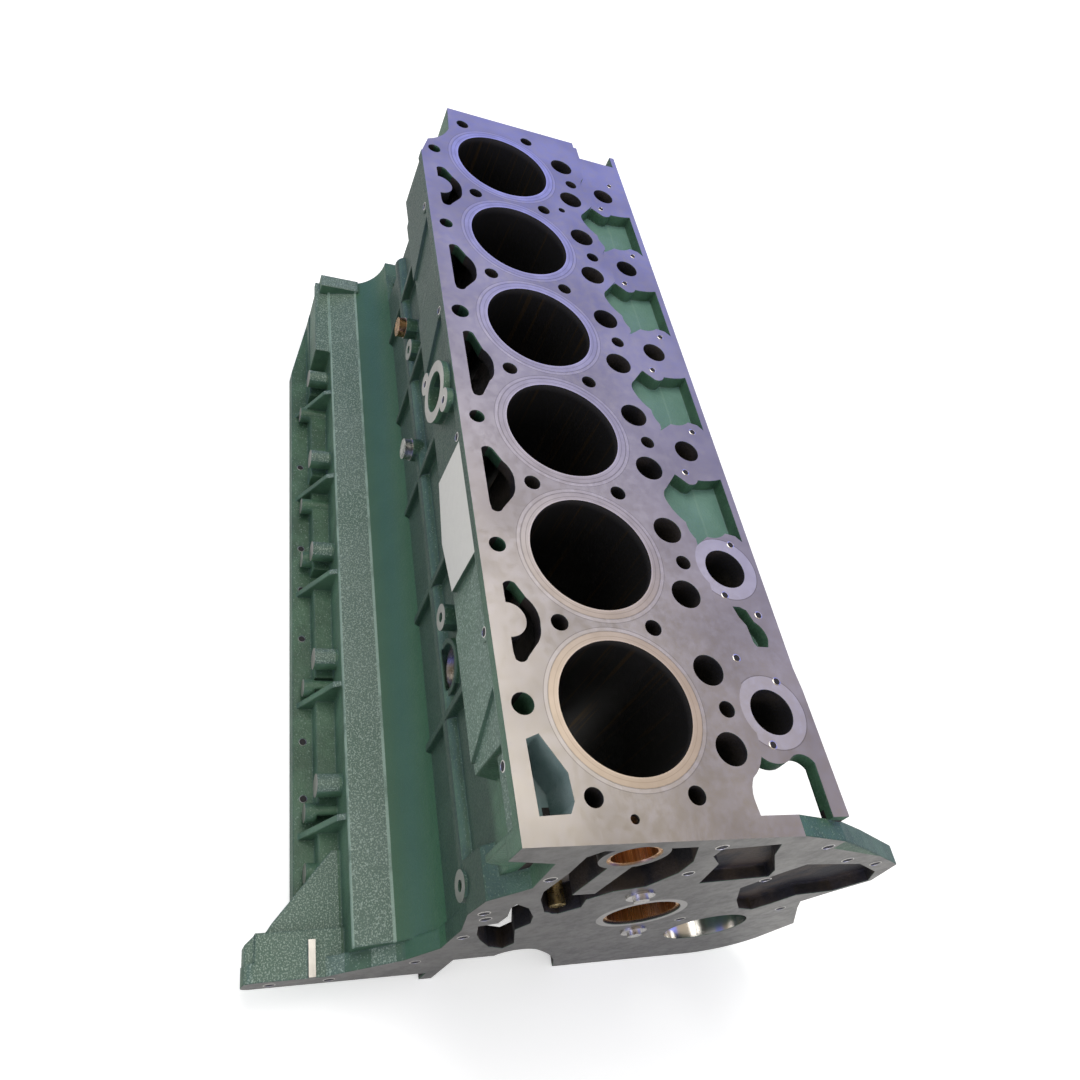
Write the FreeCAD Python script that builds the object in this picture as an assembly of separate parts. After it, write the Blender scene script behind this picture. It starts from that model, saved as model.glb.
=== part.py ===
import FreeCAD, Part
import os
from math import cos, sin, tan, radians
from FreeCAD import Vector

# Bare block casting of an in-line six-cylinder diesel engine, in millimetres.
# X runs along the crankshaft, with the gear end at +X. Y runs across, with the
# water and oil side at -Y and the camshaft side at +Y. Z is up from the pan rail.

# Driving dimensions
BORE = 108.0
PITCH = 134.8
CYLINDERS = 6
DECK = 370.0
CRANK_Z = 25.0
CAM_Y = 83.0
CAM_Z = 183.0

# Main walls
SIDE = 98.0
LIP = 4.0
DECK_T = 12.0
WAIST = 72.0
WAIST_TOP = DECK - 82.0
SHELF_TOP = DECK - 5.0
DECK_STEP_Y = 107.0
SHELF_Y = 168.0
SHELF_T = 13.0
GALLERY_Y = 156.0
RIGHT_Y = 126.0
SKIRT = 138.0
RAIL = 177.0
RAIL_T = 18.0
LEDGE = 157.0
LEDGE_Z = 36.0
BAND_IN = 103.0
BAND_OUT_Z = 78.0
BAND_IN_Z = 87.0
MAIN_WEB = 28.0

# Cylinders and liners
LINER_WALL = 5.5
COLLAR_R = 62.0
COLLAR_T = 9.0
JACKET = 4.5
LINER_LEN = 215.0
LOWER_DECK = DECK - 182.0
BAY_TOP = DECK - 220.0

# Holes of the deck
BOLT_R = 7.3
BOLT_Y = 40.5
OUTER_BOLT_Y = -82.0
PUSHROD_R = 13.5
PUSHROD_Y = 80.0
PUSHROD_X = 33.0
OIL_RETURN_R = 7.0
OIL_RETURN_Y = 86.5

# Unit pump seats
PUMP_Y = 132.0
PUMP_R = 19.5
PILOT_R = 12.5
PUMP_FACE_R = 32.0
POCKET = 14.0

# Tappet chamber below the pushrod holes
CHAMBER_TOP = DECK - 53.0
CHAMBER_IN_Y = 68.0
CHAMBER_OUT_Y = 98.0

# Shaft bores
MAIN_R = 45.0
CAM_BORE_R = 33.5
CAM_BUSH_R = 30.0
CAM_TUNNEL_R = 43.0
BUSH_LEN = 22.0

# Bosses and plugs of the main oil gallery
BOSS_R = 12.0
BOSS_OUT = 14.0
PLUG_SEAT = 4.0
PLUG_R = 8.0
PLUG_HEAD_R = 11.0
PLUG_HEAD = 8.0

# Thrust screws of the camshaft and the ring high on the gear end
SCREW_R = 4.0
SCREW_LEN = 14.0
TOP_BUSH_R = 20.0
TOP_BUSH_IN_R = 17.0
TOP_SEAT = 18.0

# Gear end
REAR_OVER = 95.0
FRONT_OVER = 98.7
PLATE_T = 15.7
WING_Y = 222.0
WING_X = 39.0
WING_TOP = 48.0
WING_BOT = 25.0

# Places worked out from the driving dimensions
FIRST = -PITCH * (CYLINDERS - 1) / 2
BORES = [FIRST + i * PITCH for i in range(CYLINDERS)]
MAINS = [FIRST + (i - 0.5) * PITCH for i in range(CYLINDERS + 1)]
REAR = BORES[0] - REAR_OVER
FRONT = BORES[-1] + FRONT_OVER
PLATE = FRONT - PLATE_T
PANEL = SIDE - LIP
BORE_R = BORE / 2
LINER_R = BORE_R + LINER_WALL


def box(x0, x1, y0, y1, z0, z1):
    return Part.makeBox(x1 - x0, y1 - y0, z1 - z0, Vector(x0, y0, z0))


def upright(x, y, r, z0, z1):
    return Part.makeCylinder(r, z1 - z0, Vector(x, y, z0))


def along_x(y, z, r, x0, x1):
    return Part.makeCylinder(r, x1 - x0, Vector(x0, y, z), Vector(1, 0, 0))


def along_y(x, z, r, y0, y1):
    return Part.makeCylinder(r, y1 - y0, Vector(x, y0, z), Vector(0, 1, 0))


def face_of(points, place):
    """A flat face whose outline is straight, or an arc where a step has a middle point."""
    edges = []
    here = place(*points[0])
    for step in points[1:] + points[:1]:
        if isinstance(step[0], tuple):
            middle = place(*step[0])
            there = place(*step[1])
            edges.append(Part.Arc(here, middle, there).toShape())
        else:
            there = place(*step)
            edges.append(Part.makeLine(here, there))
        here = there
    return Part.Face(Part.Wire(edges))


def section(points, x0, x1):
    """A cross-section of the block, in Y and Z, run along the crankshaft."""
    face = face_of(points, lambda y, z: Vector(x0, y, z))
    return face.extrude(Vector(x1 - x0, 0, 0))


def plan(points, z0, z1, x=0.0):
    """An outline seen from above, in X and Y, run up in Z."""
    face = face_of(points, lambda px, y: Vector(px + x, y, z0))
    return face.extrude(Vector(0, 0, z1 - z0))


def side(points, y0, y1):
    """An outline seen from the -Y side, in X and Z, run along Y."""
    face = face_of(points, lambda x, z: Vector(x, y0, z))
    return face.extrude(Vector(0, y1 - y0, 0))


def octagon(first, second, half, corner):
    """Corners of an eight-sided outline that lies half on each side of its middle."""
    return [(first - half, second - corner), (first - corner, second - half), (first + corner, second - half),
            (first + half, second - corner), (first + half, second + corner), (first + corner, second + half),
            (first - corner, second + half), (first - half, second + corner)]


def joined(solids):
    return solids[0].multiFuse(solids[1:]) if len(solids) > 1 else solids[0]


def save(name, shape):
    shape.exportStep("parts/" + name + ".step")


# Outer form of the casting
def outer_form():
    core = [
        (-PANEL, DECK),
        (-PANEL, WAIST_TOP + 6),
        (-WAIST, WAIST_TOP - 6),
        (-WAIST, CRANK_Z + 107),
        ((-80.5, CRANK_Z + 79), (-BAND_IN, BAND_IN_Z)),
        (-SKIRT, BAND_OUT_Z),
        (-SKIRT, LEDGE_Z),
        (-LEDGE, LEDGE_Z),
        (-LEDGE, RAIL_T),
        (-RAIL, RAIL_T),
        (-RAIL, 0),
        (RAIL, 0),
        (RAIL, RAIL_T),
        (SKIRT, RAIL_T),
        (SKIRT, BAND_OUT_Z),
        (RIGHT_Y, CAM_Z - 55),
        (RIGHT_Y, CAM_Z + 12),
        (DECK_STEP_Y, CAM_Z + 45),
        (DECK_STEP_Y, DECK),
    ]
    gallery = [
        (DECK_STEP_Y - 12, SHELF_TOP),
        (SHELF_Y, SHELF_TOP),
        (SHELF_Y, SHELF_TOP - 28),
        (GALLERY_Y, SHELF_TOP - 46),
        (GALLERY_Y, CAM_Z + 52),
        (RIGHT_Y, CAM_Z + 12),
        (RIGHT_Y - 20, CAM_Z + 12),
    ]
    tunnel = section(octagon(CAM_Y, CAM_Z, CAM_TUNNEL_R, CAM_TUNNEL_R * tan(radians(22.5))), REAR, PLATE + 1)
    deck_lip = box(REAR, PLATE + 1, -SIDE, -PANEL + 1, DECK - 11, DECK)
    # End of the pump shelf, drawn in round the last seat and on to the flange as a bar
    tip = PLATE + 1 - BORES[-1]
    shelf_end = [(-40, 100), (24, 100), (35, 107), ((42.5, 122), (39.5, 134)), ((35, 147), (42, 157)), (tip, 157),
                 (tip, SHELF_Y + 4), (-20, SHELF_Y + 2), (-40, SHELF_Y)]
    seat_tube = upright(BORES[-1], PUMP_Y, PUMP_R + 3.5, CAM_Z + 52, SHELF_TOP)
    return [section(core, REAR, PLATE + 1), section(gallery, REAR, BORES[-1] - 30), tunnel, deck_lip,
            plan(shelf_end, SHELF_TOP - SHELF_T, SHELF_TOP, BORES[-1]), seat_tube]


# Gear-end flange with its mounting wing
def gear_flange():
    outline = [
        (-SIDE, DECK), (-SIDE, DECK - 26), (-60, DECK - 36), (-55, DECK - 91), (-81, DECK - 118),
        (-84, DECK - 152), (-WAIST - 2, DECK - 197), (-WAIST - 2, DECK - 253), (-97, DECK - 286),
        (-138, DECK - 310), (-155, WING_TOP),
        (-WING_Y + 8, WING_TOP), ((-WING_Y, 42), (-WING_Y - 1, 36)), ((-WING_Y, 29), (-WING_Y + 8, WING_BOT)),
        (-RAIL, WING_BOT), (-RAIL + 8, 0), (230, 0), ((268, 14), (290, 45)), (302, 96), (262, 160),
        (250, 182), (266, 208), (288, 238), (279, 284), (210, 330), (172, 353), (122, DECK),
    ]
    plate = section(outline, PLATE, FRONT)
    wing = box(FRONT - WING_X, FRONT, -WING_Y + 8, -SKIRT + 2, WING_BOT, WING_TOP)
    wing_tip = plan([(FRONT - WING_X, -WING_Y + 9), (FRONT, -WING_Y + 9), (FRONT, -WING_Y),
                     (FRONT - WING_X + 8, -WING_Y)], WING_BOT + 3, WING_TOP - 3)
    gusset = plan([(FRONT - 108, -SKIRT + 2), (FRONT - 108, -SKIRT - 8), (FRONT - 48, -199),
                   (FRONT - WING_X + 2, -207), (FRONT - WING_X + 2, -SKIRT + 2)], WING_BOT + 6, WING_TOP - 6)
    stop = box(FRONT - 30, FRONT, -170, -164, WING_TOP - 1, WING_TOP + 4)
    # Cast boss behind the flange, between the jacket and the crankcase
    boss = section([(-55, DECK - 91), (-81, DECK - 118), (-84, DECK - 152), (-WAIST - 2, DECK - 187),
                    (-60, DECK - 187), (-45, DECK - 91)], PLATE - 24, PLATE + 1)
    return [plate, wing, wing_tip, gusset, stop, boss]


# Raised faces, bosses and ribs of the water and oil side
EARS_X = [-242.0, -78.0, 83.0, 274.0, 377.0]
PORT = (8.0, DECK - 37.0)


def left_side():
    parts = []
    top = DECK - 9
    low = WAIST_TOP + 8
    lean = 34.0
    for x0, x1 in ((-320.0, -194.0), (-158.0, -46.0), (210.0, 350.0)):
        parts.append(side([(x0, top), (x1 - lean, top), (x1, low), (x0 + lean, low)], -SIDE + 1, -PANEL + 1))
    parts.append(side([(90, top), (205, top), (205, low + 6), (150, low - 4), (90, low + 6)], -SIDE, -PANEL + 1))
    for x in EARS_X:
        parts.append(along_y(x, DECK - 13, 8, -SIDE, -PANEL + 1))
    px, pz = PORT
    tilt = radians(35)
    ears = [(px + s * 35 * cos(tilt), pz + s * 35 * sin(tilt)) for s in (-1, 1)]
    parts.append(along_y(px, pz, 29, -SIDE - 6, -PANEL + 1))
    for ex, ez in ears:
        parts.append(along_y(ex, ez, 11, -SIDE - 6, -PANEL + 1))
    # Main oil gallery, cast as a rounded bar along the waist, with its bosses
    parts.append(along_x(-WAIST + 3, DECK - 170, 12, BORES[0] - 8, PLATE - 4))
    for x, z in GALLERY_PLUGS + GALLERY_TAPS:
        parts.append(along_y(x, z, BOSS_R, -WAIST - BOSS_OUT, -WAIST + 4))
    for x in CORE_PLUGS:
        parts.append(along_y(x, CORE_PLUG_Z, 26, -WAIST - 5, -WAIST + 4))
    # Upright ribs of the waist, one beside each main bearing
    for x in MAINS[1:-1]:
        parts.append(section([(-WAIST + 2, WAIST_TOP - 8), (-WAIST - 12, WAIST_TOP - 8),
                              (-WAIST - 6, CRANK_Z + 112), (-WAIST + 2, CRANK_Z + 106)], x - 3, x + 3))
    # Skirt below the band: a round boss on each main bearing, ribs and rail bosses
    for x in MAINS[1:-1]:
        parts.append(along_y(x, 52, 11, -SKIRT - 24, -SKIRT + 2))
        parts.append(section([(-SKIRT + 2, BAND_OUT_Z - 6), (-SKIRT - 8, BAND_OUT_Z - 10),
                              (-RAIL + 4, RAIL_T - 1), (-SKIRT + 2, RAIL_T - 1)], x + 34, x + 40))
    for x in SKIRT_BOSSES:
        parts.append(along_y(x, 30, 9, -SKIRT - 31, -SKIRT + 2))
    far = [(REAR, -SKIRT + 2), (REAR, -155), (REAR + 132, -157), (REAR + 132, -SKIRT + 2)]
    parts.append(plan(far, RAIL_T - 1, BAND_OUT_Z - 2))
    parts.append(box(REAR, REAR + 21, -150, -100, BAND_OUT_Z - 3, BAND_IN_Z + 4))
    return parts


GALLERY_PLUGS = [(-204.0, DECK - 150.0), (-38.0, DECK - 171.0)]
GALLERY_TAPS = [(-161.0, DECK - 143.0), (189.0, DECK - 134.0), (413.0, DECK - 157.0)]
CORE_PLUGS = [226.0]
CORE_PLUG_Z = DECK - 157.0
CORE_PLUG_R = 21.0
SKIRT_BOSSES = [-225.0, -79.0, -3.0, 157.0, 288.0, 344.0]


# Plain camshaft side, hidden in ordinary views
def right_side():
    parts = []
    for x in MAINS[1:-1]:
        parts.append(section([(SKIRT - 2, BAND_OUT_Z), (RIGHT_Y - 2, CAM_Z - 50), (RIGHT_Y - 2, CAM_Z + 10),
                              (RIGHT_Y + 8, CAM_Z + 10), (RAIL - 6, RAIL_T - 1), (SKIRT - 2, RAIL_T - 1)],
                             x - 4, x + 4))
    return parts


# Hollow inside: water jacket, tappet chamber, crankcase bays, shaft tunnels
def hollows():
    cuts = []
    jacket_top = DECK - DECK_T
    reach = LINER_R + JACKET
    for x in BORES:
        cuts.append(plan(octagon(0, 0, reach, reach * tan(radians(22.5))), LOWER_DECK, jacket_top, x))
    for x in MAINS[1:-1]:
        cuts.append(box(x - 48, x + 48, -86, -56, WAIST_TOP, jacket_top))
    cuts.append(box(REAR + 14, BORES[-1] + 6, CHAMBER_IN_Y, CHAMBER_OUT_Y, CAM_Z + 50, CHAMBER_TOP))
    bay = [(-SKIRT + 10, -1), (-SKIRT + 10, 64), (-100, 70), (-64, CRANK_Z + 94), (-62, BAY_TOP),
           (40, BAY_TOP), (52, CRANK_Z + 96), (92, 84), (SKIRT - 10, 64), (SKIRT - 10, -1)]
    for a, b in zip(MAINS[:-1], MAINS[1:]):
        cuts.append(section(bay, a + MAIN_WEB / 2, b - MAIN_WEB / 2))
    cuts.append(box(REAR + 14, PLATE - 14, -78, 78, -1, CRANK_Z))
    cuts.append(along_x(0, CRANK_Z, MAIN_R, REAR - 1, PLATE + 1))
    mouth = [(-48, -1), (-48, CRANK_Z + 44), (-10, CRANK_Z + 46), ((8, CRANK_Z + 62), (26, CRANK_Z + 57)),
             ((54, CRANK_Z + 24), (76, -1))]
    cuts.append(section(mouth, PLATE - 14, FRONT + 1))
    cuts.append(box(PLATE - 1, FRONT + 1, -RAIL, -60, -1, WING_BOT))
    cuts.append(along_x(CAM_Y, CAM_Z, CAM_BUSH_R, REAR - 1, FRONT + 1))
    cuts.append(along_x(CAM_Y, CAM_Z, CAM_BORE_R, FRONT - 2 - BUSH_LEN, FRONT + 1))
    return cuts


# Windows of the deck that open into the jacket, beside each main bearing
def deck_windows():
    cuts = []
    z0 = DECK - DECK_T - 1
    z1 = DECK + 1
    for i, x in enumerate(MAINS[1:-1]):
        half = 41.0 if i == 2 else 34.0
        window = plan([(3 - half, -83), ((-half, -78), (2 - half, -72.5)), (-20, -65.5),
                       ((-9, -58.5), (4, -57.6)), ((14, -59.5), (21, -64)), (half - 3, -72),
                       ((half + 1, -77), (half - 1, -82)), (half - 7, -83)], z0, z1, x)
        if i in (0, 4):
            window = window.cut(upright(x, -83.2, 14.7, z0 - 1, z1 + 1))
        cuts.append(window)
    cuts.append(plan([(22, -74), (50, -57), (70, -56), (78, -60), (79, -83), (26, -84)],
                     DECK - 40, z1, BORES[-1]))
    return cuts


SMALL_DECK_HOLES = [(FRONT - 15.9, -13.7, 3.5), (MAINS[1] - 8.3, 63.7, 4.0)]


# Machined holes of the deck and of the pump shelf
def deck_holes():
    cuts = []
    top = DECK + 1
    for x in BORES:
        cuts.append(upright(x, 0, LINER_R, CRANK_Z + 88, top))
        cuts.append(upright(x, 0, COLLAR_R, DECK - COLLAR_T, top))
        for dx in (-PUSHROD_X + 1, PUSHROD_X):
            cuts.append(upright(x + dx, PUSHROD_Y, PUSHROD_R, CHAMBER_TOP - 1, top))
        cuts.append(upright(x + 1, OIL_RETURN_Y, OIL_RETURN_R, CHAMBER_TOP - 1, top))
    for i, x in enumerate(BORES):
        cuts.append(upright(x, OUTER_BOLT_Y, 8.7 if i % 3 == 2 else 7.1, DECK - 60, top))
    for x in MAINS:
        for y in (-BOLT_Y - 0.8, BOLT_Y - 0.7):
            cuts.append(upright(x, y, BOLT_R, DECK - 95, top))
    for x, y, r in SMALL_DECK_HOLES:
        cuts.append(upright(x, y, r, DECK - 25, top))
    for i, x in enumerate(BORES):
        cuts.append(upright(x, PUMP_Y, PUMP_FACE_R, SHELF_TOP, top))
        seat = PUMP_R if i >= CYLINDERS - 2 else PILOT_R
        cuts.append(upright(x, PUMP_Y, seat, CAM_Z + 60, top))
    return cuts


# Cast pockets of the shelf between the pump seats
def shelf_pockets():
    cuts = []
    # Each pocket bulges in between two pushrod holes and goes round the pump seats
    pocket = [(-36, 110), (-13, 92), ((-7, 88), (1, 88)), ((13, 93), (24, 102)), ((35, 103.5), (45, 110)),
              (34, 124), ((34, 134), (28, 145)), (30, 155), (36, 161), (-37, 161), ((-33, 147), (-32, 134)),
              ((-26, 128), (-26, 122))]
    for x in MAINS[1:-2]:
        cuts.append(plan(pocket, SHELF_TOP - POCKET, DECK + 1, x))
    hook = [(-29, 127), (-29, 134), (-26, 140), (-15, 144), ((-7, 151), (2, 152.5)), (9, 150), (9, 139),
            (5, 136.5), (-11, 135), (-19, 130)]
    cuts.append(plan(hook, SHELF_TOP - POCKET, SHELF_TOP + 1, MAINS[-2]))
    cuts.append(box(REAR - 1, REAR + 22, DECK_STEP_Y + 8, SHELF_Y - 6, SHELF_TOP - POCKET, SHELF_TOP + 1))
    return cuts


# Recesses and bolt holes of the gear end
TOP_RING = (-3.5, DECK - 28.5)
PTO = (187.0, DECK - 257.0)
PTO_R = 40.0
JET = (-6.0, DECK - 160.0)
JET_R = 7.0
BIG_DEPTH = 22.0
SMALL_DEPTH = 10.0


def gear_end_cuts():
    cuts = []
    big = [(-34, -14), (40, -14), (55, -48), (57, -75), (45, -106), (21, -114), (6, -132), (11, -153),
           (-3, -168), (-18, -160), (-36, -123), (-42, -102), (-40, -58), (-42, -25)]
    upper = section([(y, DECK + z) for y, z in big], FRONT - BIG_DEPTH, FRONT + 1)
    upper = upper.cut(along_x(TOP_RING[0], TOP_RING[1], 26, PLATE - 20, FRONT + 2))
    upper = upper.cut(box(PLATE - 20, FRONT + 2, -13, 6, DECK - 116, DECK - 50))
    cuts.append(upper)
    cuts.append(along_x(TOP_RING[0], TOP_RING[1], TOP_BUSH_R, FRONT - TOP_SEAT, FRONT + 1))
    middle = [(66, -38), (64, -22), (112, -16), (123, -42), (150, -82), (155, -99), (93, -106), (82, -57)]
    right = [(146, -128), (162, -92), (174, -71), (233, -78), (270, -104), (284, -131), (264, -158), (228, -164),
             (217, -187), (206, -204), (187, -196), (166, -166)]
    for pocket in (middle, right):
        cuts.append(section([(y, DECK + z) for y, z in pocket], FRONT - SMALL_DEPTH, FRONT + 1))
    window = [(-52, -131), (-37, -145), (-23, -171), (-17, -192), (-24, -210), (-7, -257), (-12, -273),
              (-29, -262), (-46, -235), (-55, -216), (-63, -189), (-48, -184), (-47, -165), (-53, -141)]
    cuts.append(section([(y, DECK + z) for y, z in window], MAINS[-1] - 16, FRONT + 1))
    inner = [(-48, -150), (0, -180), (34, -250), (64, -322), (64, -371), (-44, -371), (-58, -250)]
    cuts.append(section([(y, DECK + z) for y, z in inner], MAINS[-1] - 16, PLATE - 2))
    cuts.append(along_x(PTO[0], PTO[1], PTO_R, PLATE - 20, FRONT + 1))
    cuts.append(along_x(JET[0], JET[1], JET_R, FRONT - BIG_DEPTH - 8, FRONT + 1))
    for s in (-1, 1):
        cuts.append(along_x(CAM_Y + s * 26 - 5, CAM_Z - s * 58, SCREW_R, FRONT - SCREW_LEN - 1, FRONT + 1))
    return cuts


# Holes and recesses of the sides
def side_cuts():
    cuts = []
    px, pz = PORT
    cuts.append(along_y(px, pz, 19, -SIDE - 7, -80))
    for x, z in GALLERY_PLUGS:
        cuts.append(along_y(x, z, PLUG_R, -WAIST - BOSS_OUT - 1, -WAIST - PLUG_SEAT))
    for x, z in GALLERY_TAPS:
        cuts.append(along_y(x, z, 4.5, -WAIST - BOSS_OUT - 1, -WAIST - PLUG_SEAT))
    for x in CORE_PLUGS:
        cuts.append(along_y(x, CORE_PLUG_Z, CORE_PLUG_R, -WAIST - 6, -58))
    hollow = [(-SIDE - 8, DECK - 13), (-88, DECK - 13), (-88, DECK - 44), (-WAIST - 1, DECK - 70),
              (-WAIST - 1, WAIST_TOP - 8), (-SIDE - 8, WAIST_TOP - 8)]
    cuts.append(section(hollow, BORES[-1] + 21, PLATE - 4))
    # Rounded rear corner beside the first bore, set in further below the deck
    corner = [(REAR - 1, -SIDE - 8), (REAR - 1, -57), (REAR + 45, -60), ((REAR + 66, -72), (REAR + 78, -88)),
              (REAR + 104, -SIDE + 1), (REAR + 104, -SIDE - 8)]
    cuts.append(plan(corner, WAIST_TOP - 8, DECK + 1))
    low_corner = [(REAR - 1, -WAIST - 14), (REAR - 1, -47), ((REAR + 40, -54), (REAR + 78, -WAIST)),
                  (REAR + 78, -WAIST - 14)]
    cuts.append(plan(low_corner, CRANK_Z + 107, WAIST_TOP + 1))
    # Side of the deck beside the last pump seat, open down to the tunnel
    inset = [(28, DECK_STEP_Y + 1), (35, 106), ((46, 101), (55, 92)), ((64, 88), (74, 87.5)),
             (PLATE - BORES[-1], 88.5), (PLATE - BORES[-1], DECK_STEP_Y + 1)]
    cuts.append(plan(inset, CAM_Z + 42, DECK + 1, BORES[-1]))
    # Rear corner of the rail drawn in
    rail_corner = [(REAR - 1, -RAIL - 1), (REAR - 1, -151), (REAR + 125, -RAIL - 1)]
    cuts.append(plan(rail_corner, -1, RAIL_T + 50))
    for x in MAINS[1:-1]:
        cuts.append(box(x + 13, x + 33, -LEDGE - 1, -SKIRT, RAIL_T, LEDGE_Z + 1))
    return cuts


def block_casting():
    solid = joined(outer_form() + gear_flange() + left_side() + right_side())
    solid = solid.cut(hollows())
    solid = solid.cut(deck_windows() + deck_holes() + shelf_pockets() + gear_end_cuts() + side_cuts())
    return solid.removeSplitter()


def liner(x):
    """Wet liner: a collar seated in the deck and a plain honed tube below it."""
    tube = upright(x, 0, LINER_R, DECK - LINER_LEN, DECK)
    collar = upright(x, 0, COLLAR_R, DECK - COLLAR_T, DECK)
    return tube.fuse(collar).cut(upright(x, 0, BORE_R, DECK - LINER_LEN - 1, DECK + 1)).removeSplitter()


def cam_bush(x0):
    return along_x(CAM_Y, CAM_Z, CAM_BORE_R, x0, x0 + BUSH_LEN).cut(
        along_x(CAM_Y, CAM_Z, CAM_BUSH_R, x0 - 1, x0 + BUSH_LEN + 1))


def thrust_screws():
    solids = []
    for s in (-1, 1):
        y = CAM_Y + s * 26 - 5
        z = CAM_Z - s * 58
        screw = joined([along_x(y, z, 12, FRONT, FRONT + 1.6), along_x(y, z, 6.5, FRONT + 1, FRONT + 5),
                        along_x(y, z, SCREW_R, FRONT - SCREW_LEN, FRONT + 1)])
        solids.append(screw)
    return Part.makeCompound(solids)


def pieces():
    """Every node of the block by name, in the working frame on the crankshaft line."""
    nodes = {"block_casting": block_casting()}
    for i, x in enumerate(BORES):
        nodes["cylinder_liner_%d" % (i + 1)] = liner(x)
    nodes["camshaft_bush"] = cam_bush(FRONT - 2 - BUSH_LEN)
    nodes["top_bush"] = along_x(TOP_RING[0], TOP_RING[1], TOP_BUSH_R, FRONT - TOP_SEAT, FRONT - 1).cut(
        along_x(TOP_RING[0], TOP_RING[1], TOP_BUSH_IN_R, FRONT - TOP_SEAT - 1, FRONT))
    for i, x in enumerate(CORE_PLUGS):
        cup = along_y(x, CORE_PLUG_Z, CORE_PLUG_R, -WAIST + 1, -WAIST + 7)
        nodes["core_plug_%d" % (i + 1)] = cup.cut(along_y(x, CORE_PLUG_Z, CORE_PLUG_R - 2, -WAIST, -WAIST + 5))
    for i, (x, z) in enumerate(GALLERY_PLUGS):
        face = -WAIST - BOSS_OUT
        nodes["gallery_plug_%d" % (i + 1)] = joined([along_y(x, z, PLUG_R, face, -WAIST - PLUG_SEAT),
                                                     along_y(x, z, PLUG_HEAD_R, face - PLUG_HEAD, face)])
    nodes["cam_thrust_screws"] = thrust_screws()
    nodes["brass_jet"] = along_x(JET[0], JET[1], JET_R, FRONT - BIG_DEPTH - 8, FRONT - 4)
    return nodes


def main():
    nodes = pieces()
    bounds = Part.makeCompound(list(nodes.values())).BoundBox
    # The saved nodes stand on the origin, with it under the middle of the whole block
    middle = Vector(-(bounds.XMin + bounds.XMax) / 2, -(bounds.YMin + bounds.YMax) / 2, -bounds.ZMin)
    os.makedirs("parts", exist_ok=True)
    for name, shape in nodes.items():
        shape.translate(middle)
        save(name, shape)
    print("moved by", [round(v, 3) for v in middle])


main()
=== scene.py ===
import math

import bmesh
import bpy
from mathutils import Matrix, Vector


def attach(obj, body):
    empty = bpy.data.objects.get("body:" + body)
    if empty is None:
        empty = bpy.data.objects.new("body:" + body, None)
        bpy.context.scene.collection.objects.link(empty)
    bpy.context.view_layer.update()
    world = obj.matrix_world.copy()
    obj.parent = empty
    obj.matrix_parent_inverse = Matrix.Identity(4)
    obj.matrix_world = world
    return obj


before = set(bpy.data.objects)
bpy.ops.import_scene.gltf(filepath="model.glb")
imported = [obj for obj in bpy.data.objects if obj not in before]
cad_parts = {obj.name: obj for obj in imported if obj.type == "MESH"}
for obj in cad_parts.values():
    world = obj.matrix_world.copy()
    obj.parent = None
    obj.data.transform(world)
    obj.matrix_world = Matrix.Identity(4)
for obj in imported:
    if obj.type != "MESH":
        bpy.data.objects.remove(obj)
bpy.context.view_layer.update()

# Sizes of the casting, in millimetres on the crankshaft line, repeated from the solids
MM = 0.001  # in metres
SHIFT_X = 4.35
SHIFT_Y = 39.332
PITCH = 134.8
FIRST = -337.0
BORES = [FIRST + i * PITCH for i in range(6)]
MAINS = [FIRST + (i - 0.5) * PITCH for i in range(7)]
REAR = BORES[0] - 95.0
FRONT = BORES[5] + 98.7
PLATE = FRONT - 15.7
DECK = 370.0
SHELF = DECK - 5.0
POCKET_Z = SHELF - 14.0
STEP_Y = 107.0
SIDE = 98.0
WAIST = 72.0
WAIST_TOP = DECK - 82.0
SKIRT = 138.0
BAND_IN = 103.0
BAND_OUT_Z = 78.0
BAND_IN_Z = 87.0
LEDGE_Z = 36.0
RAIL_T = 18.0
WING_TOP = 48.0
BOSS_OUT = 14.0
COLLAR_R = 62.0
LINER_BORE_R = 54.0
PUMP_Y = 132.0
PUMP_R = 19.5
PUMP_FACE_R = 32.0
PUSHROD_X = 33.0
PUSHROD_Y = 80.0
PUSHROD_R = 13.5
OIL_RETURN_Y = 86.5
OIL_RETURN_R = 7.0
CAM_Y = 83.0
CAM_Z = 183.0
CAM_BORE_R = 33.5
CAM_BUSH_R = 30.0
CAM_LAND_R = 39.5
PORT_X = 8.0
PORT_Y = -104.0
PORT_Z = DECK - 37.0
PTO_Y = 187.0
PTO_Z = DECK - 257.0
PTO_R = 40.0
TOP_RING_Y = -3.5
TOP_RING_Z = DECK - 28.5
TOP_RING_R = 26.0

# Boxes of the casting whose faces share a finish: the low and high limit by axis, None where it is open
OPEN = (None, None)
# A face this near to the deck, the rail or the front counts as lying in it
SKIN = 0.4
INSIDE_X = (REAR + 1, FRONT - 1.5)
UPPER_JACKET = dict(x=INSIDE_X, y=(-SIDE + 5.5, STEP_Y - 0.7), z=(WAIST_TOP + 0.5, DECK - SKIN))
LOWER_JACKET = dict(x=INSIDE_X, y=(-WAIST + 1, STEP_Y - 0.7), z=(119.0, WAIST_TOP + 1))
CRANK_BAYS = dict(x=INSIDE_X, y=(9 - SKIRT, SKIRT - 9), z=(None, 122.0))
BAY_LEAN = -0.62
CAM_TUNNEL = dict(x=(REAR + 0.5, FRONT - 0.5))
PUMP_BORES = dict(y=(PUMP_Y - 20.5, None), z=(200.0, SHELF - 0.3))
GEAR_CORNER = dict(x=(BORES[5] + 20, None), y=(None, -46.0))
FAR_CORNER = dict(x=(None, REAR + 80), y=(None, -46.0))
FAR_CORNER_TOP = dict(z=(100.0, None), **FAR_CORNER)
CAM_SIDE = dict(y=(100.0, None), z=(None, SHELF - 20))
WATER_SIDE = dict(y=(None, -66.0))
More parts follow.
